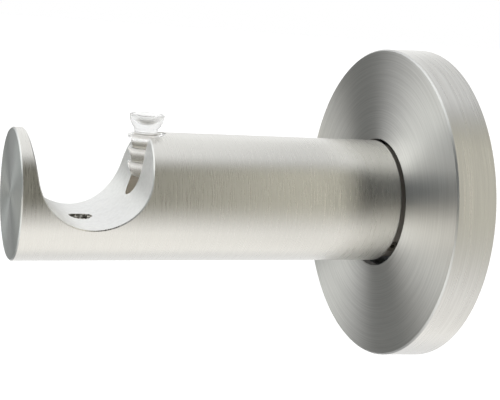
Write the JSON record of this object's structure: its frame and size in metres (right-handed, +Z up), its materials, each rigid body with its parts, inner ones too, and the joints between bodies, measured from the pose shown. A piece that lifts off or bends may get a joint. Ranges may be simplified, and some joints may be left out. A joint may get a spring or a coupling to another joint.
{
  "type": "curtain pole bracket",
  "caption": "Wall bracket for a curtain pole: a round brushed bar with an open saddle near its tip, a clear retaining plug, and a round cover at the wall.",
  "frame": {"origin": "centre of the back of the wall plate, on the wall", "axes": "+Y into the wall, the arm runs out along -Y, +Z up, the pole lies along X"},
  "size_m": [0.0638, 0.084, 0.0638],
  "materials": {
    "brushed_bar": "brushed round the bar",
    "brushed_cover": "turned in fine circles",
    "plated_steel": "bright zinc plate",
    "screw_steel": "plain steel",
    "clear_plastic": "clear and soft"
  },
  "bodies": {
    "root": {"arm": "brushed_bar", "cover": "brushed_cover", "wall_plate": "plated_steel", "set_screw": "screw_steel", "grub_screw": "screw_steel", "pole_plug": "clear_plastic"}
  },
  "joints": []
}
